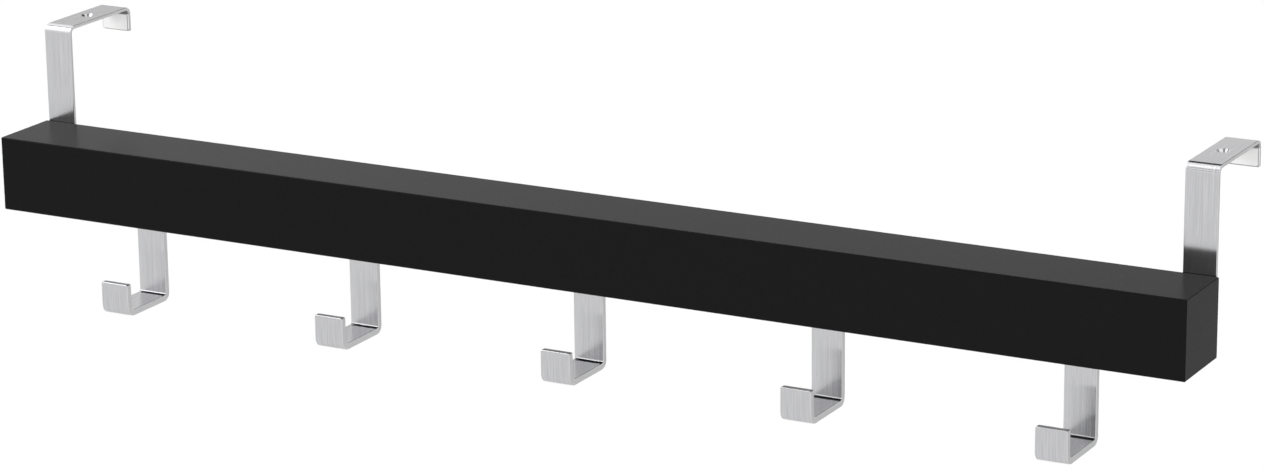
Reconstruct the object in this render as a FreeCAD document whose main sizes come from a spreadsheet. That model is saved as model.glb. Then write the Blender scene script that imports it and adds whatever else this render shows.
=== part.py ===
"""Over door hook: a wooden rail hung over a door by two steel strips, with steel hooks under it.

Frame: millimetres, +X along the rail, +Y through the door, +Z up. The origin lies on the door's top
edge, in the middle of its thickness and midway between the two screw holes over it.
"""
import FreeCAD, Part
import Sketcher
import os

SIZES = [
    # the wooden rail
    ("rail_length", 600.0),
    ("rail_depth", 37.0),
    ("rail_height", 35.5),
    ("rail_edge_round", 0.6),
    ("rail_end_break", 0.3),
    # the door and the pads that touch it
    ("door_gap", 45.6),
    ("pad_thickness", 1.2),
    ("pad_height", 8.4),
    ("pad_above_lip_end", 0.5),
    ("pad_corner_round", 1.2),
    # the strips bent over the door
    ("bracket_width", 15.0),
    ("bracket_thickness", 1.6),
    ("bracket_bend_round", 1.4),
    ("bracket_inset", 1.25),
    ("bracket_rise", 46.0),
    ("bracket_overlap", 29.0),
    ("bracket_lip_drop", 10.7),
    ("door_hole_diameter", 3.5),
    ("door_countersink_diameter", 6.0),
    # the hooks
    ("hook_count", 5),
    ("hook_width", 15.0),
    ("hook_thickness", 3.0),
    ("hook_bend_round", 1.0),
    ("hook_reach", 34.1),
    ("hook_drop", 46.0),
    ("hook_lip_height", 16.0),
    ("hook_overlap", 28.5),
    ("hook_end_round", 3.0),
    ("groove_clearance", 0.1),
    ("lip_corner_round", 0.8),
    # the wood screws behind the rail
    ("screw_length", 16.0),
    ("screw_diameter", 3.0),
    ("screw_head_diameter", 5.8),
    ("screw_tip_length", 3.0),
    ("bracket_screw_spacing", 14.0),
    ("screw_cross_length", 3.0),
    ("screw_cross_width", 0.7),
    ("screw_cross_depth", 0.9),
    ("screw_head_clearance", 0.05),
    ("strip_hole_clearance", 0.2),
    ("pilot_clearance", 0.05),
    ("pilot_spare_depth", 1.0),
]

# every countersink and screw head here is a right-angled cone
CONE_ANGLE = 90.0
# a groove's outline runs this far past the rail's underside, so that the groove is open there
CUT_OVERRUN = 1.0
TOLERANCE = 1e-4

# derived places, worked out from the sizes
PLATE_DEPTH = "(2 * sizes.bracket_thickness + sizes.door_gap + sizes.pad_thickness)"
RAIL_BACK = f"(-{PLATE_DEPTH} / 2)"
RAIL_FRONT = f"({RAIL_BACK} - sizes.rail_depth)"
RAIL_TOP = "(-sizes.bracket_rise)"
RAIL_BOTTOM = f"({RAIL_TOP} - sizes.rail_height)"
BRACKET_X = "(sizes.rail_length / 2 - sizes.bracket_inset - sizes.bracket_width / 2)"
STRIP_END = f"({RAIL_TOP} - sizes.bracket_overlap)"
LIP_OUTSIDE = f"({PLATE_DEPTH} / 2)"
LIP_INSIDE = f"({LIP_OUTSIDE} - sizes.bracket_thickness)"
LIP_END = "(-sizes.bracket_lip_drop)"
GROOVE_FLOOR = f"({RAIL_BACK} - sizes.hook_thickness)"
HOOK_SPACING = "(sizes.rail_length / sizes.hook_count)"
HOOK_TOP = f"({RAIL_BOTTOM} + sizes.hook_overlap)"
HOOK_FRONT = f"({RAIL_BACK} - sizes.hook_reach)"
HOOK_LOW = f"({RAIL_BOTTOM} - sizes.hook_drop)"
HOOK_LIP_TOP = f"({HOOK_LOW} + sizes.hook_lip_height)"
BRACKET_SCREW_HEIGHTS = [
    f"{RAIL_TOP} - (sizes.bracket_overlap - sizes.bracket_screw_spacing) / 2",
    f"{RAIL_TOP} - (sizes.bracket_overlap + sizes.bracket_screw_spacing) / 2",
]
HOOK_SCREW_HEIGHTS = [f"{RAIL_BOTTOM} + sizes.hook_overlap / 2"]
PILOT_DIAMETER = "(sizes.screw_diameter + 2 * sizes.pilot_clearance)"
STRIP_HOLE = "(sizes.screw_diameter + 2 * sizes.strip_hole_clearance)"
HEAD_SEAT = "(sizes.screw_head_diameter + 2 * sizes.screw_head_clearance)"

doc = FreeCAD.newDocument("over_door_hook")


def make_sheet():
    """The spreadsheet of driving dimensions."""
    sheet = doc.addObject("Spreadsheet::Sheet", "sizes")
    for row, (alias, size) in enumerate(SIZES, start=1):
        sheet.set(f"A{row}", alias.replace("_", " "))
        sheet.set(f"B{row}", str(size))
        sheet.setAlias(f"B{row}", alias)
    doc.recompute()
    return sheet


sizes = make_sheet()


def number(expression):
    """The present value of an expression on the sheet."""
    return float(sizes.evalExpression(expression))


def new_body(name):
    body = doc.addObject("PartDesign::Body", name)
    body.Label = name
    return body


def new_sketch(body, name, plane, offset=None):
    """A sketch on one of the body's own origin planes, moved along its normal by an expression."""
    sketch = body.newObject("Sketcher::SketchObject", name)
    support = [item for item in body.Origin.OriginFeatures if item.Role == plane][0]
    sketch.AttachmentSupport = [(support, "")]
    sketch.MapMode = "FlatFace"
    if offset:
        sketch.setExpression("AttachmentOffset.Base.z", offset)
    return sketch


def bind(sketch, kind, line, end, expression):
    """Ties one coordinate of a line's end to an expression, measured from the sketch's origin."""
    index = sketch.addConstraint(Sketcher.Constraint(kind, -1, 1, line, end, number(expression)))
    sketch.setExpression(f"Constraints[{index}]", expression)


def add_outline(sketch, corners):
    """A closed outline through corners, each a pair of expressions.

    Neighbours that share an expression are joined by an upright or level line.
    """
    first = sketch.GeometryCount
    count = len(corners)
    places = [FreeCAD.Vector(number(across), number(up), 0) for across, up in corners]
    for step in range(count):
        sketch.addGeometry(Part.LineSegment(places[step], places[(step + 1) % count]))
    for step in range(count):
        following = first + (step + 1) % count
        sketch.addConstraint(Sketcher.Constraint("Coincident", first + step, 2, following, 1))
    for step in range(count):
        for axis, (kind, level) in enumerate((("DistanceX", "Vertical"), ("DistanceY", "Horizontal"))):
            here = corners[step][axis]
            if step > 0 and corners[step - 1][axis] == here:
                sketch.addConstraint(Sketcher.Constraint(level, first + step - 1))
            elif step == count - 1 and corners[0][axis] == here:
                sketch.addConstraint(Sketcher.Constraint(level, first + step))
            else:
                bind(sketch, kind, first + step, 1, here)


def add_circle(sketch, across, up, diameter):
    """A circle whose middle and diameter follow expressions."""
    middle = FreeCAD.Vector(number(across), number(up), 0)
    circle = sketch.addGeometry(Part.Circle(middle, FreeCAD.Vector(0, 0, 1), number(diameter) / 2))
    for kind, place, axis_line in (("DistanceX", across, -2), ("DistanceY", up, -1)):
        if place == "0":
            sketch.addConstraint(Sketcher.Constraint("PointOnObject", circle, 3, axis_line))
        else:
            bind(sketch, kind, circle, 3, place)
    index = sketch.addConstraint(Sketcher.Constraint("Diameter", circle, number(diameter)))
    sketch.setExpression(f"Constraints[{index}]", diameter)


def pad_through(body, name, sketch, width):
    """Stands a sketch's outline up to both sides of its plane, width in all."""
    pad = body.newObject("PartDesign::Pad", name)
    pad.Profile = sketch
    pad.SideType = "Symmetric"
    pad.setExpression("Length", width)
    doc.recompute()
    return pad


def cut(body, kind, name, sketch, reversed_way):
    """A pocket or hole from a sketch, one that has to take something off the solid."""
    feature = body.newObject(kind, name)
    feature.Profile = sketch
    feature.Reversed = reversed_way
    return feature


def check_cut(before, body, what):
    """Stops the macro when a cut has left the volume as it was."""
    doc.recompute()
    if body.Shape.Volume > before - TOLERANCE:
        raise RuntimeError(f"{what} took nothing off {body.Label}")


def pocket(body, name, sketch, depth, reversed_way=True):
    before = body.Shape.Volume
    feature = cut(body, "PartDesign::Pocket", name, sketch, reversed_way)
    feature.setExpression("Length", depth)
    check_cut(before, body, name)
    return feature


def countersunk_holes(body, name, sketch, diameter, countersink, reversed_way):
    """Through holes with a right-angled countersink on the sketch's side."""
    doc.recompute()
    before = body.Shape.Volume
    hole = cut(body, "PartDesign::Hole", name, sketch, reversed_way)
    hole.ThreadType = "None"
    hole.DepthType = "ThroughAll"
    hole.HoleCutType = "Countersink"
    hole.HoleCutCustomValues = True
    hole.setExpression("Diameter", diameter)
    hole.setExpression("HoleCutDiameter", countersink)
    hole.HoleCutCountersinkAngle = CONE_ANGLE
    check_cut(before, body, name)
    return hole


def edge_names(shape, wanted):
    """The names of the edges that a test picks, as fillets take them."""
    return [f"Edge{number_of}" for number_of, edge in enumerate(shape.Edges, start=1) if wanted(edge)]


def dress_edges(body, kind, name, wanted, measure, size):
    """A fillet or chamfer on the edges that a test picks, its measure tied to an expression."""
    base = body.Tip
    names = edge_names(base.Shape, wanted)
    if not names:
        raise RuntimeError(f"{name} found no edge on {body.Label}")
    dressed = body.newObject(kind, name)
    dressed.Base = (base, names)
    dressed.setExpression(measure, size)
    doc.recompute()
    return dressed


def round_edges(body, name, wanted, radius):
    return dress_edges(body, "PartDesign::Fillet", name, wanted, "Radius", radius)


def near(one, other):
    return abs(one - other) < TOLERANCE


def runs_along(edge, axis):
    """True for a straight edge along the axis, 0 for X, 1 for Y and 2 for Z."""
    ends = [vertex.Point for vertex in edge.Vertexes]
    if len(ends) != 2:
        return False
    return all(near(ends[0][other], ends[1][other]) for other in range(3) if other != axis)


def lies_across(edge):
    """True for an edge of the outline of a bar's end, which lies square to X."""
    return near(edge.BoundBox.XLength, 0)


def edge_through(axis, places):
    """A test for straight edges along an axis that pass through one of places."""
    others = [other for other in range(3) if other != axis]

    def wanted(edge):
        if not runs_along(edge, axis):
            return False
        point = edge.Vertexes[0].Point
        return any(all(near(point[other], place[k]) for k, other in enumerate(others)) for place in places)

    return wanted


def bent_strip(name, outline, width, outer_corners, inner_corners, bend, thickness):
    """A flat strip bent to a profile in the YZ plane, with one bend radius inside and its match outside."""
    body = new_body(name)
    sketch = new_sketch(body, f"{name}_profile", "YZ_Plane")
    add_outline(sketch, outline)
    pad_through(body, f"{name}_strip", sketch, width)
    inside = [(number(across), number(up)) for across, up in inner_corners]
    outside = [(number(across), number(up)) for across, up in outer_corners]
    round_edges(body, f"{name}_bends_inside", edge_through(0, inside), bend)
    round_edges(body, f"{name}_bends_outside", edge_through(0, outside), f"{bend} + {thickness}")
    return body


def round_end_corners(body, name, width, height, radius):
    """Rounds the two corners of a strip's end that lies at a height."""
    half = number(width) / 2
    level = number(height)
    round_edges(body, name, edge_through(1, [(-half, level), (half, level)]), radius)


def screw_holes(body, name, heights, back):
    """Holes for wood screws down the middle of a strip, countersunk from its back."""
    sketch = new_sketch(body, f"{name}_centres", "XZ_Plane", f"-{back}")
    for height in heights:
        add_circle(sketch, "0", height, STRIP_HOLE)
    countersunk_holes(body, name, sketch, STRIP_HOLE, HEAD_SEAT, True)


def make_bracket(name, side):
    """Strip screwed flat on the rail's back, up and over the door, down as a lip behind it."""
    thickness = "sizes.bracket_thickness"
    front = RAIL_BACK
    back = f"({RAIL_BACK} + {thickness})"
    outline = [
        (front, STRIP_END),
        (front, thickness),
        (LIP_OUTSIDE, thickness),
        (LIP_OUTSIDE, LIP_END),
        (LIP_INSIDE, LIP_END),
        (LIP_INSIDE, "0.0"),
        (back, "0.0"),
        (back, STRIP_END),
    ]
    outside = [(front, thickness), (LIP_OUTSIDE, thickness)]
    inside = [(LIP_INSIDE, "0.0"), (back, "0.0")]
    width = "sizes.bracket_width"
    body = bent_strip(name, outline, width, outside, inside, "sizes.bracket_bend_round", thickness)
    round_end_corners(body, f"{name}_lip_corners", width, LIP_END, "sizes.lip_corner_round")
    round_end_corners(body, f"{name}_foot_corners", width, STRIP_END, "sizes.hook_end_round")
    screw_holes(body, f"{name}_screw_holes", BRACKET_SCREW_HEIGHTS, back)
    door_hole = new_sketch(body, f"{name}_door_hole_centre", "XY_Plane", thickness)
    add_circle(door_hole, "0", "0", "sizes.door_hole_diameter")
    hole_sizes = ("sizes.door_hole_diameter", "sizes.door_countersink_diameter")
    countersunk_holes(body, f"{name}_door_hole", door_hole, *hole_sizes, False)
    body.setExpression("Placement.Base.x", f"{side} * {BRACKET_X}")
    return body


def make_pad(name, side):
    """Thin pad on the inside of a bracket's lip, with round lower corners."""
    body = new_body(name)
    sketch = new_sketch(body, f"{name}_outline", "XZ_Plane", f"-{LIP_INSIDE}")
    low = f"({LIP_END} + sizes.pad_above_lip_end)"
    high = f"({low} + sizes.pad_height)"
    half = "sizes.bracket_width / 2"
    add_outline(sketch, [(f"-{half}", low), (half, low), (half, high), (f"-{half}", high)])
    pad = body.newObject("PartDesign::Pad", f"{name}_sheet")
    pad.Profile = sketch
    pad.setExpression("Length", "sizes.pad_thickness")
    doc.recompute()
    round_end_corners(body, f"{name}_low_corners", "sizes.bracket_width", low, "sizes.pad_corner_round")
    body.setExpression("Placement.Base.x", f"{side} * {BRACKET_X}")
    return body


def make_hook(index):
    """Strip let into the rail's back, down out of it, forward, and up as a lip."""
    name = f"hook_{index + 1}"
    thickness = "sizes.hook_thickness"
    outline = [
        (RAIL_BACK, HOOK_TOP),
        (RAIL_BACK, HOOK_LOW),
        (HOOK_FRONT, HOOK_LOW),
        (HOOK_FRONT, HOOK_LIP_TOP),
        (f"{HOOK_FRONT} + {thickness}", HOOK_LIP_TOP),
        (f"{HOOK_FRONT} + {thickness}", f"{HOOK_LOW} + {thickness}"),
        (GROOVE_FLOOR, f"{HOOK_LOW} + {thickness}"),
        (GROOVE_FLOOR, HOOK_TOP),
    ]
    outside = [outline[1], outline[2]]
    inside = [outline[5], outline[6]]
    width = "sizes.hook_width"
    body = bent_strip(name, outline, width, outside, inside, "sizes.hook_bend_round", thickness)
    round_end_corners(body, f"{name}_lip_corners", width, HOOK_LIP_TOP, "sizes.lip_corner_round")
    round_end_corners(body, f"{name}_end_corners", width, HOOK_TOP, "sizes.hook_end_round")
    screw_holes(body, f"{name}_screw_hole", HOOK_SCREW_HEIGHTS, RAIL_BACK)
    body.setExpression("Placement.Base.x", hook_x(index))
    return body


def hook_x(index):
    """The middle of a hook: each has an equal share of the rail's length."""
    return f"({index} - (sizes.hook_count - 1) / 2) * {HOOK_SPACING}"


def rail_groove(body):
    """The first hook's groove: blind at the top, open at the rail's underside."""
    half = "(sizes.hook_width / 2 + sizes.groove_clearance)"
    left = f"{hook_x(0)} - {half}"
    right = f"{hook_x(0)} + {half}"
    low = f"{RAIL_BOTTOM} - {CUT_OVERRUN}"
    high = f"{HOOK_TOP} + sizes.groove_clearance"
    sketch = new_sketch(body, "groove_outline", "XZ_Plane", f"-{RAIL_BACK}")
    add_outline(sketch, [(left, low), (right, low), (right, high), (left, high)])
    return pocket(body, "groove", sketch, "sizes.hook_thickness")


def pilot_holes(body, name, across, heights, face, strip_thickness):
    """Blind pilot holes for the wood screws, from a face of the rail."""
    sketch = new_sketch(body, f"{name}_centres", "XZ_Plane", f"-{face}")
    for height in heights:
        add_circle(sketch, across, height, PILOT_DIAMETER)
    depth = f"sizes.screw_length - {strip_thickness} + sizes.pilot_spare_depth"
    return pocket(body, name, sketch, depth)


def make_rail():
    """Wooden bar with eased edges, a groove for each hook, and pilot holes for the screws."""
    body = new_body("rail")
    sketch = new_sketch(body, "rail_section", "YZ_Plane")
    add_outline(sketch, [
        (RAIL_FRONT, RAIL_BOTTOM),
        (RAIL_BACK, RAIL_BOTTOM),
        (RAIL_BACK, RAIL_TOP),
        (RAIL_FRONT, RAIL_TOP),
    ])
    pad_through(body, "rail_bar", sketch, "sizes.rail_length")
    round_edges(body, "rail_long_edges", lambda edge: runs_along(edge, 0), "sizes.rail_edge_round")
    dress_edges(body, "PartDesign::Chamfer", "rail_ends", lies_across, "Size", "sizes.rail_end_break")
    groove = rail_groove(body)
    hook_pilots = pilot_holes(
        body, "hook_pilots", hook_x(0), HOOK_SCREW_HEIGHTS, GROOVE_FLOOR, "sizes.hook_thickness")
    before = body.Shape.Volume
    row = body.newObject("PartDesign::LinearPattern", "groove_row")
    row.Originals = [groove, hook_pilots]
    row.Direction = (groove.Profile[0], ["H_Axis"])
    row.Mode = "Spacing"
    row.setExpression("Offset", HOOK_SPACING)
    row.setExpression("Occurrences", "sizes.hook_count")
    body.Tip = row
    check_cut(before, body, "groove_row")
    ends = []
    for index in range(int(number("sizes.hook_count"))):
        for way in (-1, 1):
            reach = number("sizes.hook_width / 2 + sizes.groove_clearance")
            ends.append((number(hook_x(index)) + way * reach, number(f"{HOOK_TOP} + sizes.groove_clearance")))
    end_round = "sizes.hook_end_round + sizes.groove_clearance"
    round_edges(body, "groove_end_corners", edge_through(1, ends), end_round)
    for side, side_name in ((-1, "left"), (1, "right")):
        across = f"{side} * {BRACKET_X}"
        name = f"bracket_pilots_{side_name}"
        pilot_holes(body, name, across, BRACKET_SCREW_HEIGHTS, RAIL_BACK, "sizes.bracket_thickness")
    return body


def make_screw():
    """Countersunk wood screw with a cross recess, its head's face at Y 0 and its tip towards -Y."""
    body = new_body("wood_screw")
    sketch = new_sketch(body, "screw_half_section", "XY_Plane")
    shank = "sizes.screw_diameter / 2"
    head = "sizes.screw_head_diameter / 2"
    neck = f"-({head} - {shank})"
    shoulder = "-(sizes.screw_length - sizes.screw_tip_length)"
    add_outline(sketch, [
        ("0.0", "0.0"),
        (head, "0.0"),
        (shank, neck),
        (shank, shoulder),
        ("0.0", "-sizes.screw_length"),
    ])
    turned = body.newObject("PartDesign::Revolution", "screw_turned")
    turned.Profile = sketch
    turned.ReferenceAxis = (sketch, ["V_Axis"])
    turned.Angle = 360.0
    doc.recompute()
    recess = new_sketch(body, "screw_cross", "XZ_Plane")
    long = "sizes.screw_cross_length / 2"
    slim = "sizes.screw_cross_width / 2"
    add_outline(recess, [
        (f"-{slim}", f"-{long}"),
        (slim, f"-{long}"),
        (slim, f"-{slim}"),
        (long, f"-{slim}"),
        (long, slim),
        (slim, slim),
        (slim, long),
        (f"-{slim}", long),
        (f"-{slim}", slim),
        (f"-{long}", slim),
        (f"-{long}", f"-{slim}"),
        (f"-{slim}", f"-{slim}"),
    ])
    pocket(body, "screw_recess", recess, "sizes.screw_cross_depth")
    return body


def make_screw_group(name, screw, columns, back, heights):
    """One node of separate screws, at each height in each column."""
    links = []
    for across in columns:
        for height in heights:
            link = doc.addObject("App::Link", f"{name}_{len(links) + 1}")
            link.LinkedObject = screw
            link.setExpression("Placement.Base.x", across)
            link.setExpression("Placement.Base.y", back)
            link.setExpression("Placement.Base.z", height)
            links.append(link)
    group = doc.addObject("Part::Compound", name)
    group.Label = name
    group.Links = links
    return group


def check_document(nodes):
    """Stops the macro on any failed object or bad shape."""
    for item in doc.Objects:
        if "Invalid" in item.State or "Error" in item.State:
            raise RuntimeError(f"{item.Name} has failed: {item.State}")
    for node in nodes:
        if node.Shape.isNull() or not node.Shape.isValid():
            raise RuntimeError(f"{node.Label} has a bad shape")


hook_range = range(int(number("sizes.hook_count")))
nodes = [make_rail()]
for side, side_name in ((-1, "left"), (1, "right")):
    nodes.append(make_bracket(f"bracket_{side_name}", side))
    nodes.append(make_pad(f"pad_{side_name}", side))
nodes += [make_hook(index) for index in hook_range]
screw = make_screw()
bracket_columns = [f"{side} * {BRACKET_X}" for side in (-1, 1)]
bracket_back = f"{RAIL_BACK} + sizes.bracket_thickness"
nodes.append(make_screw_group("bracket_screws", screw, bracket_columns, bracket_back, BRACKET_SCREW_HEIGHTS))
hook_columns = [hook_x(index) for index in hook_range]
nodes.append(make_screw_group("hook_screws", screw, hook_columns, RAIL_BACK, HOOK_SCREW_HEIGHTS))

doc.recompute()
check_document(nodes)
os.makedirs("parts", exist_ok=True)
for node in nodes:
    node.Shape.exportStep(f"parts/{node.Label}.step")
    box = node.Shape.BoundBox
    print(node.Label, len(node.Shape.Solids), "solids, volume", round(node.Shape.Volume, 1),
          "x", round(box.XMin, 2), round(box.XMax, 2), "y", round(box.YMin, 2), round(box.YMax, 2),
          "z", round(box.ZMin, 2), round(box.ZMax, 2))
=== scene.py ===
import math

import bmesh
import bpy
from mathutils import Matrix, Vector


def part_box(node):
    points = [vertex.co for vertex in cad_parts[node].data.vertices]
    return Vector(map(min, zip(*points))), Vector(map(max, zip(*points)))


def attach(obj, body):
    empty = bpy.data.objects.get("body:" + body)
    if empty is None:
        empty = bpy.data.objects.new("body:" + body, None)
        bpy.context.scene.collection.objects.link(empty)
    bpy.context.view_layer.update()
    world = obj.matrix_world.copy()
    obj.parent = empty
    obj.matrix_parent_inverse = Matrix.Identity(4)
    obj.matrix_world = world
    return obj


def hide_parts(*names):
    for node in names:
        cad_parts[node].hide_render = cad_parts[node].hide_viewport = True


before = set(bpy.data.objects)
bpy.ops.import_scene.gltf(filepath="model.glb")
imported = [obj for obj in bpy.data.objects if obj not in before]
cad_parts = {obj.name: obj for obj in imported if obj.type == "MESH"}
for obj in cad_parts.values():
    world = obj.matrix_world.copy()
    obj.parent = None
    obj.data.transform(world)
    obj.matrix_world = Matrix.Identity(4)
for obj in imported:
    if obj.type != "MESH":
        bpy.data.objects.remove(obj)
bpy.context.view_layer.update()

# Over door hook: a black wooden rail hung over a door by two bent steel strips, with five bent steel
# hooks under it. Metres, +X along the rail, +Y through the door, +Z up. Names ending in _MM are millimetres.

MM = 0.001

# the pieces that come in sets
SIDES = ("left", "right")
HOOK_COUNT = 5

# the steel strips
STRIP_EDGE_MM = 0.27
LIP_CORNER_MM = 0.8
HIDDEN_CORNER_MM = 3.0
HOOK_THICKNESS_MM = 3.0
HOOK_REAR_BEND_MM = 1.1
HOOK_FRONT_BEND_MM = 1.8
HOOK_LIP_MM = 16.0
BRACKET_THICKNESS_MM = 1.6
BRACKET_BEND_MM = 2.0
BRACKET_LIP_MM = 12.3
UP = math.pi / 2
DOWN = -math.pi / 2

# the holes in them, each with a right-angled countersink, whose flank leans by SINK_FLANK degrees
DOOR_HOLE_MM = 3.5
DOOR_SINK_MM = 6.4
SCREW_HOLE_MM = 3.4
SCREW_SINK_MM = 5.9
HOLE_EDGE_MM = 0.08
SINK_FLANK = 45

# the pads
PAD_CORNER_MM = 1.2
PAD_TOP_CORNER_MM = 0.5
PAD_EDGE_MM = 0.35

# the wood screws behind the rail
SCREW_MM = {
    "Head Diameter": 5.8,
    "Head Rim": 0.12,
    "Shank Diameter": 2.6,
    "Length": 16.0,
    "Tip Length": 3.0,
    "Tip Diameter": 0.13,
    "Recess Length": 3.0,
    "Recess Width": 0.7,
    "Recess Depth": 0.9,
    "Thread Pitch": 1.3,
    "Thread Height": 0.2,
}
BRACKET_SCREW_ROWS = 2
BRACKET_SCREW_SPACING_MM = 14.0

# how finely round stretches are divided
BEND_STEPS = 24
CORNER_STEPS = 6
EDGE_STEPS = 3
HOLE_SIDES = 48
SCREW_SIDES = 40
THREAD_STEPS = 24
THREAD_SIDES = 3

# a face looks one way when its normal has more than FACING of it, and is flat when its normal has more than
# FLAT of an axis; the normals round one rounded edge have more than SAME_EDGE of each other
FACING = 0.75
FLAT = 0.9999
SAME_EDGE = 0.3
SHARP_EDGE = math.radians(30)

# merging distances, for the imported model's loose triangles in metres and for a blank's cuts in millimetres
MERGE = 1e-6
CUT_MERGE_MM = 1e-5

# a steel strip's colours beside its brushed faces: a painted highlight on its rounded edges, and the duller
# finishes of its long sides and its two ends
EDGE_COLOURS = {
    # the rounded edges' colour is a painted highlight, brighter than the brushed faces
    "edge_light_and_shade": "#CACACB",
    "sheared": "#BFBFC0",
    "cut": "#A9A9AB",
}


# helpers


def srgb(code):
    """A hex colour as linear RGBA."""
    parts = [int(code[place:place + 2], 16) / 255 for place in (1, 3, 5)]
    linear = [part / 12.92 if part <= 0.04045 else ((part + 0.055) / 1.055) ** 2.4 for part in parts]
    return (*linear, 1.0)


def feed(tree, socket, value):
    """Links an input to another node's output, or sets it to a plain value."""
    if isinstance(value, bpy.types.NodeSocket):
        tree.links.new(value, socket)
    else:
        socket.default_value = value


def add(tree, kind, inputs=(), **settings):
    """A node with its settings, and its inputs fed by name, or in the order of those in use."""
    node = tree.nodes.new(kind)
    for name, value in settings.items():
        setattr(node, name, value)
    if isinstance(inputs, dict):
        pairs = [(node.inputs[name], value) for name, value in inputs.items()]
    else:
        pairs = list(zip([socket for socket in node.inputs if socket.enabled], inputs))
    for socket, value in pairs:
        feed(tree, socket, value)
    return node


def result(node):
    """A node's first output in use."""
    return next(socket for socket in node.outputs if socket.enabled)


def new_material(name):
    """An empty material and its node tree."""
    material = bpy.data.materials.new(name)
    material.use_nodes = True
    material.node_tree.nodes.clear()
    return material, material.node_tree


def new_object(name, mesh, *materials):
    """An object in the scene, with its mesh and materials."""
    piece = bpy.data.objects.new(name, mesh)
    bpy.context.scene.collection.objects.link(piece)
    mesh.materials.clear()
    for material in materials:
        mesh.materials.append(material)
    return piece


def dress(piece, node):
    """Hangs a finished piece on the root body and hides the CAD node that it stands in for."""
    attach(piece, "root")
    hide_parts(node)


def node_box(node):
    """Lowest and highest corner of a CAD node, in millimetres."""
    low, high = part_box(node)
    return Vector(low) / MM, Vector(high) / MM


# materials


def brushed_stainless_steel():
    """Stainless strip brushed along its length: fine streaks, and reflections smeared across them.

    Its rounded edges carry a painted highlight, and its sheared sides and cut ends are duller than its faces.
    Real brushing is finer than a picture shows, so its streaks are drawn coarser."""
    streaks_mm = ((0.25, 9.0), (0.6, 40.0))
    wide_streaks_part = 0.6
    streak_detail = 2.0
    streak_roughness = 0.7
    streak_depth = (0.34, 0.66)
    streak_colours = ("#B8B8BA", "#CDCDCF")
    streak_gloss = (0.155, 0.185)
    sheared_gloss = 0.32
    material, tree = new_material("brushed_stainless_steel")
    place = add(tree, "ShaderNodeUVMap", uv_map="strip")
    layers = []
    for width_mm, length_mm in streaks_mm:
        per_metre = (1 / (width_mm * MM), 1 / (length_mm * MM), 1.0)
        stretched = add(tree, "ShaderNodeVectorMath", [place.outputs["UV"], per_metre], operation="MULTIPLY")
        layers.append(add(tree, "ShaderNodeTexNoise", {
            "Vector": stretched.outputs["Vector"],
            "Scale": 1.0,
            "Detail": streak_detail,
            "Roughness": streak_roughness,
        }, noise_dimensions="2D").outputs["Fac"])
    streaks = result(add(tree, "ShaderNodeMix", [wide_streaks_part, *layers]))
    raised = result(add(tree, "ShaderNodeMapRange", [streaks, *streak_depth]))
    edge_masks = {
        name: add(tree, "ShaderNodeAttribute", attribute_name=name).outputs["Fac"]
        for name in EDGE_COLOURS
    }
    colour = result(add(tree, "ShaderNodeMix", [raised, *map(srgb, streak_colours)], data_type="RGBA"))
    # over the streaks: a painted highlight on the rounded edges, and the duller sheared sides and cut ends
    for name, code in EDGE_COLOURS.items():
        colour = result(add(tree, "ShaderNodeMix", [edge_masks[name], colour, srgb(code)], data_type="RGBA"))
    gloss = result(add(tree, "ShaderNodeMapRange", [streaks, *streak_depth, *streak_gloss]))
    gloss = result(add(tree, "ShaderNodeMix", [edge_masks["sheared"], gloss, sheared_gloss]))
    across = add(tree, "ShaderNodeTangent", direction_type="UV_MAP", uv_map="strip")
    shader = add(tree, "ShaderNodeBsdfPrincipled", {
        "Base Color": colour,
        "Metallic": 1.0,
        "Roughness": gloss,
        "Anisotropic": 0.95,
        "Tangent": across.outputs["Tangent"],
        "Specular Tint": (0.75, 0.75, 0.75, 1.0),
    })
    add(tree, "ShaderNodeOutputMaterial", {"Surface": shader.outputs["BSDF"]})
    return material


def black_painted_wood():
    """Solid wood under black paint: dark and even, with a low sheen that shows at a slant."""
    peel_mm = 1.4
    peel_height_mm = 0.05
    paint_colours = ("#151515", "#191919")
    paint_gloss = (0.26, 0.3)
    material, tree = new_material("black_painted_wood")
    place = add(tree, "ShaderNodeTexCoord")
    peel = add(tree, "ShaderNodeTexNoise", {
        "Vector": place.outputs["Object"],
        "Scale": 1 / (peel_mm * MM),
        "Detail": 3.0,
        "Roughness": 0.6,
    }).outputs["Fac"]
    relief = add(tree, "ShaderNodeBump", {
        "Height": peel,
        "Strength": 0.008,
        "Distance": peel_height_mm * MM,
    })
    colour = result(add(tree, "ShaderNodeMix", [peel, *map(srgb, paint_colours)], data_type="RGBA"))
    gloss = result(add(tree, "ShaderNodeMapRange", [peel, 0.0, 1.0, *paint_gloss]))
    shader = add(tree, "ShaderNodeBsdfPrincipled", {
        "Base Color": colour,
        "Roughness": gloss,
        "IOR": 1.098,
        "Normal": relief.outputs["Normal"],
    })
    add(tree, "ShaderNodeOutputMaterial", {"Surface": shader.outputs["BSDF"]})
    return material


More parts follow.
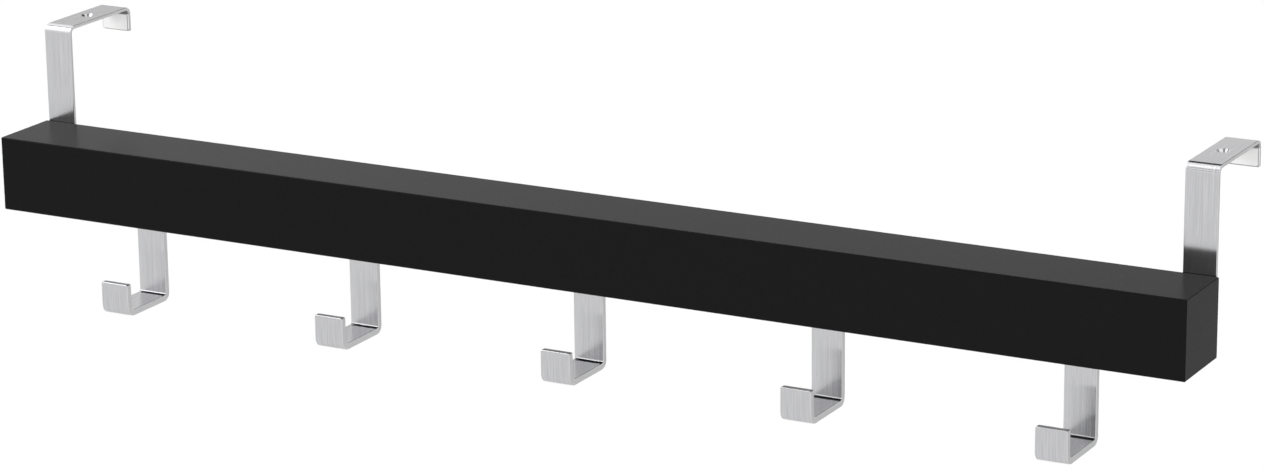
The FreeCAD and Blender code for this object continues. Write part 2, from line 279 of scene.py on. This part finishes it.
def white_foam_plastic():
    """Closed-cell plastic sheet: nearly white and matt, with a faint mottle, and painted shade round its
    edges.
    """
    cell_mm = 0.6
    cell_depth_mm = 0.05
    face_colours = ("#F7F7F6", "#FDFDFC")
    edge_shade_colour = "#9C9C9B"
    material, tree = new_material("white_foam_plastic")
    place = add(tree, "ShaderNodeTexCoord")
    cells = add(tree, "ShaderNodeTexNoise", {
        "Vector": place.outputs["Object"],
        "Scale": 1 / (cell_mm * MM),
        "Detail": 2.0,
    }).outputs["Fac"]
    relief = add(tree, "ShaderNodeBump", {
        "Height": cells,
        "Strength": 0.1,
        "Distance": cell_depth_mm * MM,
    })
    # the pad's rounded edges are greyed: painted shade along its outline
    shaded_edge = add(tree, "ShaderNodeAttribute", attribute_name="edge_light_and_shade").outputs["Fac"]
    colour = result(add(tree, "ShaderNodeMix", [cells, *map(srgb, face_colours)], data_type="RGBA"))
    colour = result(add(tree, "ShaderNodeMix", [shaded_edge, colour, srgb(edge_shade_colour)], data_type="RGBA"))
    shader = add(tree, "ShaderNodeBsdfPrincipled", {
        "Base Color": colour,
        "Roughness": 0.55,
        "Normal": relief.outputs["Normal"],
    })
    add(tree, "ShaderNodeOutputMaterial", {"Surface": shader.outputs["BSDF"]})
    return material


def zinc_plated_steel():
    """Zinc on a cold-headed screw: bright grey with a slightly cloudy gloss."""
    cloud_mm = 0.8
    zinc_colours = ("#A9ABAD", "#BBBDBF")
    zinc_gloss = (0.25, 0.4)
    material, tree = new_material("zinc_plated_steel")
    place = add(tree, "ShaderNodeTexCoord")
    clouds = add(tree, "ShaderNodeTexNoise", {
        "Vector": place.outputs["Object"],
        "Scale": 1 / (cloud_mm * MM),
        "Detail": 2.0,
    }).outputs["Fac"]
    colour = result(add(tree, "ShaderNodeMix", [clouds, *map(srgb, zinc_colours)], data_type="RGBA"))
    gloss = result(add(tree, "ShaderNodeMapRange", [clouds, 0.0, 1.0, *zinc_gloss]))
    shader = add(tree, "ShaderNodeBsdfPrincipled", {
        "Base Color": colour,
        "Metallic": 1.0,
        "Roughness": gloss,
    })
    add(tree, "ShaderNodeOutputMaterial", {"Surface": shader.outputs["BSDF"]})
    return material


# folded strips


def blank_outline(width, length, start_round, end_round, inset):
    """Points round a strip's blank, and the way out from each, at an inset from its edge."""
    half = width / 2
    corners = [
        (half - start_round, start_round, start_round, -90),
        (half - end_round, length - end_round, end_round, 0),
        (end_round - half, length - end_round, end_round, 90),
        (start_round - half, start_round, start_round, 180),
    ]
    loop = []
    for across, along, corner, first in corners:
        for step in range(CORNER_STEPS + 1):
            turn = math.radians(first + 90 * step / CORNER_STEPS)
            out = Vector((math.cos(turn), math.sin(turn)))
            loop.append((Vector((across, along)) + out * (corner - inset), out))
    return loop


def hole_outline(along, radius):
    """Points round a hole on a strip's middle line, and the way out of the steel from each, into the hole."""
    loop = []
    for step in range(HOLE_SIDES):
        turn = 2 * math.pi * step / HOLE_SIDES
        out = Vector((math.cos(turn), math.sin(turn)))
        loop.append((Vector((0, along)) + out * radius, -out))
    return loop


def edge_rows(thickness, edge):
    """Inset, height and lean of the rows that run round a blank's edge, from its back to its front.

    With each goes the mask of the faces between it and the next row: the rounded edge, which gets a painted
    highlight on steel and painted shade on a pad, and then the sheared side."""
    rows = []
    for middle, first in ((edge, -90), (thickness - edge, 0)):
        for step in range(EDGE_STEPS + 1):
            lean = math.radians(first + 90 * step / EDGE_STEPS)
            finish = "sheared" if step == EDGE_STEPS else "edge_light_and_shade"
            rows.append((edge - edge * math.cos(lean), middle + edge * math.sin(lean), lean, finish))
    return rows


def hole_rows(radius, sink, thickness, sunk_from_front):
    """Radius, height and lean of the rows down a countersunk hole, from the strip's back to its front."""
    edge = HOLE_EDGE_MM
    corner = edge * math.tan(math.radians(SINK_FLANK / 2))
    slope = corner * math.cos(math.radians(SINK_FLANK))
    neck = thickness - (sink - radius)
    rows = [
        (radius + edge, 0.0, -90),
        (radius, edge, 0),
        (radius, neck - corner, 0),
        (radius + slope, neck + slope, SINK_FLANK),
        (sink - slope, thickness - slope, SINK_FLANK),
        (sink + corner, thickness, 90),
    ]
    if not sunk_from_front:
        rows = [(wide, thickness - height, -lean) for wide, height, lean in reversed(rows)]
    return [(wide, height, math.radians(lean)) for wide, height, lean in rows]


def add_rows(mesh, rows):
    """Joins rows of points by faces, and gives back the rims of the first and last row."""
    outward = mesh.verts.layers.float_vector["outward"]
    loops = []
    for points, height, lean, _ in rows:
        loop = []
        for place, out in points:
            vertex = mesh.verts.new((place.x, place.y, height))
            vertex[outward] = (out.x * math.cos(lean), out.y * math.cos(lean), math.sin(lean))
            loop.append(vertex)
        loops.append(loop)
    for low, high, row in zip(loops, loops[1:], rows):
        finish = mesh.faces.layers.float.get(row[-1])
        for step in range(len(low)):
            after = (step + 1) % len(low)
            face = mesh.faces.new((low[step], low[after], high[after], high[step]))
            if finish:
                face[finish] = 1.0
    return [
        [mesh.edges.get((loop[step - 1], loop[step])) for step in range(len(loop))]
        for loop in (loops[0], loops[-1])
    ]


def flat_blank(width, length, thickness, rounds, edge, holes):
    """A closed flat blank with eased edges and countersunk holes, its length along Y. In millimetres."""
    blank = bmesh.new()
    blank.verts.layers.float_vector.new("outward")
    for name in EDGE_COLOURS:
        blank.faces.layers.float.new(name)
    rims = add_rows(blank, [
        (blank_outline(width, length, *rounds, inset), height, lean, finish)
        for inset, height, lean, finish in edge_rows(thickness, edge)
    ])
    for along, hole, sink, sunk_from_front in holes:
        hole_rims = add_rows(blank, [
            (hole_outline(along, radius), height, lean, "")
            for radius, height, lean in hole_rows(hole / 2, sink / 2, thickness, sunk_from_front)
        ])
        rims = [rim + more for rim, more in zip(rims, hole_rims)]
    for rim, way in zip(rims, (-1, 1)):
        bmesh.ops.triangle_fill(blank, edges=rim, use_beauty=True, normal=(0, 0, way))
    return blank


def cut_for_bends(blank, legs):
    """Lines across a blank wherever a leg bends, so that it can follow the bend."""
    passed = 0.0
    for leg, turn in legs:
        if turn:
            for step in range(BEND_STEPS + 1):
                line = (0, passed + leg * step / BEND_STEPS, 0)
                everything = blank.verts[:] + blank.edges[:] + blank.faces[:]
                bmesh.ops.bisect_plane(
                    blank, geom=everything, dist=CUT_MERGE_MM, plane_co=line, plane_no=(0, 1, 0))
        passed += leg
    bmesh.ops.recalc_face_normals(blank, faces=blank.faces)


def lay_brushing(blank):
    """A map in metres for the brushing, which runs along the blank but across its cut ends."""
    layer = blank.loops.layers.uv.new("strip")
    cut_end = blank.faces.layers.float.get("cut")
    for face in blank.faces:
        face.smooth = True
        at_end = abs(face.normal.y) > FACING
        at_side = abs(face.normal.x) > FACING
        face[cut_end] = float(at_end)
        for corner in face.loops:
            across, along, height = corner.vert.co * MM
            if at_end:
                corner[layer].uv = (across, height)
            elif at_side:
                corner[layer].uv = (height, along)
            else:
                corner[layer].uv = (across, along)


def walk(legs, start, heading, along):
    """Where a strip's middle is at a length along it, and its heading there, over straight and bent legs."""
    place = Vector(start)
    for step, (length, turn) in enumerate(legs):
        last = step == len(legs) - 1
        part = along if last or along < length else length
        if turn:
            radius = length / turn
            after = heading + part / radius
            place += radius * Vector((
                math.sin(after) - math.sin(heading),
                math.cos(heading) - math.cos(after),
            ))
            heading = after
        else:
            place += part * Vector((math.cos(heading), math.sin(heading)))
        along -= part
        if along <= 0 or last:
            break
    return place, heading


def fold(blank, thickness, legs, start, heading, middle_x):
    """Folds a blank along its legs, and gives back each point's way out of the steel."""
    outward = blank.verts.layers.float_vector["outward"]
    normals = []
    for vertex in blank.verts:
        across, along, height = vertex.co
        place, turned = walk(legs, start, heading, along)
        up = Vector((-math.sin(turned), math.cos(turned)))
        ahead = Vector((math.cos(turned), math.sin(turned)))
        spot = place + up * (height - thickness / 2)
        vertex.co = Vector((middle_x + across, spot.x, spot.y)) * MM
        out = vertex[outward]
        normal = Vector((out.x, out.y * ahead.x + out.z * up.x, out.y * ahead.y + out.z * up.y))
        normals.append(normal.normalized())
    return normals


def folded_strip(name, low, high, thickness, legs, start, heading, rounds, edge, holes, finish):
    """A flat blank as wide as its node's box, folded along its legs from a start in the YZ plane."""
    length = sum(leg for leg, _ in legs)
    blank = flat_blank(high.x - low.x, length, thickness, rounds, edge, holes)
    cut_for_bends(blank, legs)
    lay_brushing(blank)
    normals = fold(blank, thickness, legs, start, heading, (low.x + high.x) / 2)
    mesh = bpy.data.meshes.new(name)
    blank.to_mesh(mesh)
    blank.free()
    faced_right = sum(face.normal.dot(normals[face.vertices[0]]) > 0 for face in mesh.polygons)
    if faced_right < len(mesh.polygons) / 2:
        mesh.flip_normals()
    mesh.normals_split_custom_set_from_vertices(normals)
    return new_object(name, mesh, finish)


def bend_leg(inside, thickness):
    """A right-angled bend to the right, measured along the strip's middle."""
    return (math.pi / 2 * (inside + thickness / 2), -math.pi / 2)


def make_bracket(node, finish):
    """Strip up the rail's back, over the door and down as a lip, with holes for wood screws."""
    low, high = node_box(node)
    rail_top = node_box("rail")[1].z
    thickness = BRACKET_THICKNESS_MM
    outside = BRACKET_BEND_MM + thickness
    bend = bend_leg(BRACKET_BEND_MM, thickness)
    upright = high.z - low.z - outside
    over = high.y - low.y - 2 * outside
    legs = [(upright, 0), bend, (over, 0), bend, (BRACKET_LIP_MM - outside, 0)]
    overlap = rail_top - low.z
    holes = [
        ((overlap + side * BRACKET_SCREW_SPACING_MM) / 2, SCREW_HOLE_MM, SCREW_SINK_MM, False)
        for side in (-1, 1)
    ]
    holes.append((upright + bend[0] + over / 2, DOOR_HOLE_MM, DOOR_SINK_MM, True))
    piece = folded_strip(
        f"{node}_strip", low, high, thickness, legs, (low.y + thickness / 2, low.z), UP,
        (HIDDEN_CORNER_MM, LIP_CORNER_MM), STRIP_EDGE_MM, holes, finish)
    dress(piece, node)


def make_hook(node, finish):
    """Strip down out of the rail's groove, forward, and up as a lip."""
    low, high = node_box(node)
    rail_bottom = node_box("rail")[0].z
    thickness = HOOK_THICKNESS_MM
    rear_outside = HOOK_REAR_BEND_MM + thickness
    front_outside = HOOK_FRONT_BEND_MM + thickness
    legs = [
        (high.z - low.z - rear_outside, 0),
        bend_leg(HOOK_REAR_BEND_MM, thickness),
        (high.y - low.y - rear_outside - front_outside, 0),
        bend_leg(HOOK_FRONT_BEND_MM, thickness),
        (HOOK_LIP_MM - front_outside, 0),
    ]
    holes = [((high.z - rail_bottom) / 2, SCREW_HOLE_MM, SCREW_SINK_MM, True)]
    piece = folded_strip(
        f"{node}_strip", low, high, thickness, legs, (high.y - thickness / 2, high.z), DOWN,
        (HIDDEN_CORNER_MM, LIP_CORNER_MM), STRIP_EDGE_MM, holes, finish)
    dress(piece, node)


def make_pad(node, finish):
    """Flat pad on the inside of a bracket's lip, with round lower corners and soft edges."""
    low, high = node_box(node)
    thickness = high.y - low.y
    piece = folded_strip(
        f"{node}_sheet", low, high, thickness, [(high.z - low.z, 0)], (low.y + thickness / 2, low.z), UP,
        (PAD_CORNER_MM, PAD_TOP_CORNER_MM), PAD_EDGE_MM, [], finish)
    dress(piece, node)


# rail


def flat_way(face):
    """The axis that a flat face looks along, or nothing for a face on a rounded edge."""
    way = Vector([round(part) for part in face.normal])
    return way if face.normal.dot(way) > FLAT else None


def make_rail(finish):
    """The rail with its grooves, its flat faces shaded flat and its rounded edges smooth between them."""
    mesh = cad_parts["rail"].data.copy()
    bar = bmesh.new()
    bar.from_mesh(mesh)
    bmesh.ops.remove_doubles(bar, verts=bar.verts, dist=MERGE)
    normals = []
    for face in bar.faces:
        face.smooth = True
        own = flat_way(face)
        for corner in face.loops:
            near = [other for other in corner.vert.link_faces if other.normal.dot(face.normal) > SAME_EDGE]
            flats = [way for way in map(flat_way, near) if way]
            if own:
                normal = own
            elif flats:
                normal = max(flats, key=face.normal.dot)
            else:
                normal = sum((other.normal for other in near), Vector()).normalized()
            normals.append(normal)
    bar.to_mesh(mesh)
    bar.free()
    mesh.normals_split_custom_set(normals)
    dress(new_object("rail_bar", mesh, finish), "rail")


# screws


def screw_tree():
    """Geometry nodes that turn one countersunk screw and set it out in rows and columns."""
    tree = bpy.data.node_groups.new("wood_screws", "GeometryNodeTree")
    sockets = {name: "NodeSocketFloat" for name in (*SCREW_MM, "Column Spacing", "Row Spacing")}
    sockets |= {"Columns": "NodeSocketInt", "Rows": "NodeSocketInt"}
    sockets |= {"First Place": "NodeSocketVector", "Finish": "NodeSocketMaterial"}
    for name, kind in sockets.items():
        tree.interface.new_socket(name, in_out="INPUT", socket_type=kind)
    tree.interface.new_socket("Geometry", in_out="OUTPUT", socket_type="NodeSocketGeometry")
    given = add(tree, "NodeGroupInput").outputs
    head, shank, tip = [
        result(add(tree, "ShaderNodeMath", [given[f"{part} Diameter"], 0.5], operation="MULTIPLY"))
        for part in ("Head", "Shank", "Tip")
    ]
    neck, shoulder, face = [
        result(add(tree, "ShaderNodeMath", [whole, part], operation="SUBTRACT"))
        for whole, part in (
            (head, shank),
            (given["Length"], given["Tip Length"]),
            (head, given["Head Rim"]),
        )
    ]

    # the turned body: a line of points, and by its index each point's height and radius
    heights = (0.0, given["Head Rim"], neck, shoulder, given["Length"])
    radii = (face, head, shank, shank, tip)
    index = add(tree, "GeometryNodeInputIndex")
    switches = []
    for values in (heights, radii):
        switch = add(tree, "GeometryNodeIndexSwitch", data_type="FLOAT")
        while len(switch.index_switch_items) < len(values):
            switch.index_switch_items.new()
        for socket, value in zip(switch.inputs, (index.outputs["Index"], *values)):
            feed(tree, socket, value)
        switches.append(switch.outputs["Output"])
    line = add(tree, "GeometryNodeMeshLine", {"Count": len(heights)})
    height = add(tree, "ShaderNodeCombineXYZ", {"Z": switches[0]})
    placed = add(tree, "GeometryNodeSetPosition", {
        "Geometry": line.outputs["Mesh"],
        "Position": height.outputs["Vector"],
    })
    axis = add(tree, "GeometryNodeMeshToCurve", {"Mesh": placed.outputs["Geometry"]})
    ring = add(tree, "GeometryNodeCurvePrimitiveCircle", {"Resolution": SCREW_SIDES, "Radius": 1.0})
    turned = add(tree, "GeometryNodeCurveToMesh", {
        "Curve": axis.outputs["Curve"],
        "Profile Curve": ring.outputs["Curve"],
        "Scale": switches[1],
        "Fill Caps": True,
    })

    # the cross recess, cut by two bars whose middle lies on the head's face
    recessed = add(tree, "GeometryNodeMeshBoolean", {"Mesh 1": turned.outputs["Mesh"]},
                   operation="DIFFERENCE", solver="EXACT")
    bar_height = add(tree, "ShaderNodeMath", [given["Recess Depth"], 2.0], operation="MULTIPLY")
    for across, along in (("Recess Length", "Recess Width"), ("Recess Width", "Recess Length")):
        size = add(tree, "ShaderNodeCombineXYZ", {
            "X": given[across],
            "Y": given[along],
            "Z": result(bar_height),
        })
        bar = add(tree, "GeometryNodeMeshCube", {"Size": size.outputs["Vector"]})
        feed(tree, recessed.inputs["Mesh 2"], bar.outputs["Mesh"])

    # the thread winds round the shank, from as far below the head as the head is deep
    thread_start = result(add(tree, "ShaderNodeMath", [neck, 2.0], operation="MULTIPLY"))
    threaded = result(add(tree, "ShaderNodeMath", [shoulder, thread_start], operation="SUBTRACT"))
    turns = result(add(tree, "ShaderNodeMath", [threaded, given["Thread Pitch"]], operation="DIVIDE"))
    spiral = add(tree, "GeometryNodeCurveSpiral", {
        "Resolution": THREAD_STEPS,
        "Rotations": turns,
        "Start Radius": shank,
        "End Radius": shank,
        "Height": threaded,
    })
    ridge = add(tree, "GeometryNodeCurvePrimitiveCircle", {
        "Resolution": THREAD_SIDES,
        "Radius": given["Thread Height"],
    })
    thread = add(tree, "GeometryNodeCurveToMesh", {
        "Curve": spiral.outputs["Curve"],
        "Profile Curve": ridge.outputs["Curve"],
        "Fill Caps": True,
    })
    lift = add(tree, "ShaderNodeCombineXYZ", {"Z": thread_start})
    lifted = add(tree, "GeometryNodeTransform", {
        "Geometry": thread.outputs["Mesh"],
        "Translation": lift.outputs["Vector"],
    })
    whole = add(tree, "GeometryNodeJoinGeometry")
    for part in (recessed.outputs["Mesh"], lifted.outputs["Geometry"]):
        feed(tree, whole.inputs["Geometry"], part)
    lying = add(tree, "GeometryNodeTransform", {
        "Geometry": whole.outputs["Geometry"],
        "Rotation": (math.pi / 2, 0, 0),
    })

    # set out in rows, and the rows in columns
    sets = lying.outputs["Geometry"]
    for count, spacing, way in (("Rows", "Row Spacing", "Z"), ("Columns", "Column Spacing", "X")):
        step = add(tree, "ShaderNodeCombineXYZ", {way: given[spacing]})
        places = add(tree, "GeometryNodeMeshLine", {
            "Count": given[count],
            "Offset": step.outputs["Vector"],
        })
        sets = add(tree, "GeometryNodeInstanceOnPoints", {
            "Points": places.outputs["Mesh"],
            "Instance": sets,
        }).outputs["Instances"]
    moved = add(tree, "GeometryNodeTransform", {"Geometry": sets, "Translation": given["First Place"]})
    real = add(tree, "GeometryNodeRealizeInstances", {"Geometry": moved.outputs["Geometry"]})
    finished = add(tree, "GeometryNodeSetMaterial", {
        "Geometry": real.outputs["Geometry"],
        "Material": given["Finish"],
    })
    add(tree, "NodeGroupOutput", {"Geometry": finished.outputs["Geometry"]})
    return tree


def settled_mesh(draft):
    """What a draft object's modifiers give, as a plain mesh. The draft goes."""
    graph = bpy.context.evaluated_depsgraph_get()
    mesh = bpy.data.meshes.new_from_object(draft.evaluated_get(graph))
    bpy.data.objects.remove(draft)
    return mesh


def make_screws(tree, node, columns, rows, column_spacing, row_spacing, first, finish):
    """One node's screws, set out by the tree from the first one's place and then made a plain mesh."""
    draft = new_object(f"{node}_draft", bpy.data.meshes.new(f"{node}_draft"))
    modifier = draft.modifiers.new("screws", "NODES")
    modifier.node_group = tree
    values = {name: size * MM for name, size in SCREW_MM.items()}
    values |= {"Columns": columns, "Rows": rows}
    values |= {"Column Spacing": column_spacing * MM, "Row Spacing": row_spacing * MM}
    values |= {"First Place": Vector(first) * MM, "Finish": finish}
    for item in tree.interface.items_tree:
        if item.in_out == "INPUT":
            modifier[item.identifier] = values[item.name]
    mesh = settled_mesh(draft)
    mesh.set_sharp_from_angle(angle=SHARP_EDGE)
    dress(new_object(f"{node}_set", mesh, finish), node)


def make_all_screws(finish):
    """A screw through each hook, and a column of them through each bracket, heads to the back."""
    tree = screw_tree()
    rail_low, rail_high = node_box("rail")
    hook_low, hook_high = node_box("hook_1")
    last_low = node_box(f"hook_{HOOK_COUNT}")[0]
    make_screws(
        tree, "hook_screws", HOOK_COUNT, 1, (last_low.x - hook_low.x) / (HOOK_COUNT - 1), 0.0,
        ((hook_low.x + hook_high.x) / 2, hook_high.y, (hook_high.z + rail_low.z) / 2), finish)
    left_low, left_high = node_box("bracket_left")
    right_low = node_box("bracket_right")[0]
    back = left_low.y + BRACKET_THICKNESS_MM
    lowest = (rail_high.z + left_low.z - BRACKET_SCREW_SPACING_MM) / 2
    make_screws(
        tree, "bracket_screws", len(SIDES), BRACKET_SCREW_ROWS, right_low.x - left_low.x,
        BRACKET_SCREW_SPACING_MM, ((left_low.x + left_high.x) / 2, back, lowest), finish)


# studio


def make_floor():
    """Plain pale floor, as far below as a door is high."""
    drop_mm = 2000.0
    reach_m = 40.0
    material, tree = new_material("pale_floor_paint")
    shader = add(tree, "ShaderNodeBsdfPrincipled", {
        "Base Color": srgb("#E6E6E6"),
        "Roughness": 0.9,
        "Specular IOR Level": 0.0,
    })
    add(tree, "ShaderNodeOutputMaterial", {"Surface": shader.outputs["BSDF"]})
    sheet = bmesh.new()
    bmesh.ops.create_grid(sheet, x_segments=1, y_segments=1, size=reach_m)
    bmesh.ops.translate(sheet, verts=sheet.verts, vec=(0, 0, -drop_mm * MM))
    mesh = bpy.data.meshes.new("floor")
    sheet.to_mesh(mesh)
    sheet.free()
    new_object("floor", mesh, material)


def make_room():
    """A pale room with soft panels: bright in front and at both sides, a dark gap at the back.

    It is painted by direction: side, height and depth are how much of a direction runs along X, Z and Y. A
    stretch is the part of one of them over which the light changes, and lights are those at its two ends."""
    world = bpy.data.worlds.new("studio")
    bpy.context.scene.world = world
    world.use_nodes = True
    tree = world.node_tree
    tree.nodes.clear()
    place = add(tree, "ShaderNodeTexCoord")
    way = add(tree, "ShaderNodeSeparateXYZ", {"Vector": place.outputs["Generated"]})
    side = result(add(tree, "ShaderNodeMath", [way.outputs["X"]], operation="ABSOLUTE"))
    depth = result(add(tree, "ShaderNodeMath", [way.outputs["Y"]], operation="ABSOLUTE"))
    height = way.outputs["Z"]
    ramp = "ShaderNodeMapRange"
    soft = {"interpolation_type": "SMOOTHSTEP"}

    # in front: a wall with an even foot and a dark middle, and over it a broad panel that dims upwards there
    foot_stretch, foot_light = (0.12, 0.2), 1.2
    wall_stretch, wall_lights = (0.33, 0.58), (0.25, 1.45)
    broad_stretch, broad_light = (0.42, 0.52), 1.95
    middle_stretch, middle_lights = (0.4, 0.55), (1.2, 0.55)
    top_stretch = (0.24, 0.31)
    wall = result(add(tree, ramp, [side, *wall_stretch, *wall_lights]))
    footed = result(add(tree, ramp, [height, *foot_stretch, foot_light, wall], **soft))
    middle = result(add(tree, ramp, [height, *middle_stretch, *middle_lights], **soft))
    broad_panel = result(add(tree, ramp, [side, *broad_stretch, middle, broad_light], **soft))
    ahead = result(add(tree, ramp, [height, *top_stretch, footed, broad_panel], **soft))

    # behind: a low wall that rises towards the sides, and above it a dark gap between two side panels
    low_stretch, low_lights = (0.33, 0.5), (1.38, 1.03)
    gap_stretch, gap_lights = (0.42, 0.5), (0.0, 1.75)
    rise_stretch, rise_heights = (0.3, 0.36), (0.28, 0.335)
    rim_stretch = (0.0, 0.03)
    low_wall = result(add(tree, ramp, [side, *low_stretch, *low_lights]))
    gap = result(add(tree, ramp, [side, *gap_stretch, *gap_lights], **soft))
    rise = result(add(tree, ramp, [side, *rise_stretch, *rise_heights]))
    above = result(add(tree, "ShaderNodeMath", [height, rise], operation="SUBTRACT"))
    behind = result(add(tree, ramp, [above, *rim_stretch, low_wall, gap], **soft))

    # from back to front, and up to the ceiling
    turn_stretch = (0.15, -0.15)
    ceiling_stretch, ceiling_light = (0.86, 0.9), 1.95
    walls = result(add(tree, ramp, [way.outputs["Y"], *turn_stretch, behind, ahead], **soft))
    light = result(add(tree, ramp, [height, *ceiling_stretch, walls, ceiling_light], **soft))

    # in the ceiling: a dim seam towards each side, and a dark hatch in the middle
    seam_depth_stretch, seam_side_stretch, seam_light = (0.2, 0.1), (0.5, 0.54), 0.4
    hatch_side_stretch, hatch_height_stretch, hatch_light = (0.3, 0.2), (0.935, 0.95), 0.1
    in_seam = result(add(tree, ramp, [depth, *seam_depth_stretch, light, seam_light]))
    light = result(add(tree, ramp, [side, *seam_side_stretch, light, in_seam]))
    in_hatch = result(add(tree, ramp, [side, *hatch_side_stretch, light, hatch_light]))
    light = result(add(tree, ramp, [height, *hatch_height_stretch, light, in_hatch]))
    room = add(tree, "ShaderNodeBackground", {"Color": srgb("#FFFFFF"), "Strength": light})
    add(tree, "ShaderNodeOutputWorld", {"Surface": room.outputs["Background"]})


def make_lamp():
    """A large soft lamp, in front and above to the left. Its softness is in degrees."""
    softness = 30
    strength = 1.2
    towards_lamp = (-0.65, -0.35, 0.67)
    lamp = bpy.data.lights.new("front_softbox", "SUN")
    lamp.angle = math.radians(softness)
    lamp.energy = strength
    holder = bpy.data.objects.new("front_softbox", lamp)
    holder.rotation_euler = Vector(towards_lamp).to_track_quat("Z", "Y").to_euler()
    bpy.context.scene.collection.objects.link(holder)


def make_camera():
    """The photograph's viewpoint, right of the rail's middle and a little above it. Turns are in degrees."""
    place_mm = (875.5, -1591.2, 449.6)
    heading, tilt, roll = 28.605, 16.049, -0.672
    lens_mm = 117.74
    sensor_mm = 36.0
    farthest_m = 200.0
    data = bpy.data.cameras.new("camera")
    data.lens = lens_mm
    data.sensor_width = sensor_mm
    data.sensor_fit = "HORIZONTAL"
    data.clip_end = farthest_m
    camera = bpy.data.objects.new("camera", data)
    bpy.context.scene.collection.objects.link(camera)
    turn = Matrix.Rotation(math.radians(heading), 4, "Z")
    turn = turn @ Matrix.Rotation(math.radians(90 - tilt), 4, "X")
    turn = turn @ Matrix.Rotation(math.radians(roll), 4, "Z")
    camera.matrix_world = Matrix.Translation(Vector(place_mm) * MM) @ turn
    bpy.context.scene.camera = camera


steel = brushed_stainless_steel()
for side in SIDES:
    make_bracket(f"bracket_{side}", steel)
for number in range(1, HOOK_COUNT + 1):
    make_hook(f"hook_{number}", steel)
foam = white_foam_plastic()
for side in SIDES:
    make_pad(f"pad_{side}", foam)
make_rail(black_painted_wood())
make_all_screws(zinc_plated_steel())
make_floor()
make_room()
make_lamp()
make_camera()
bpy.context.scene.view_settings.view_transform = "Standard"
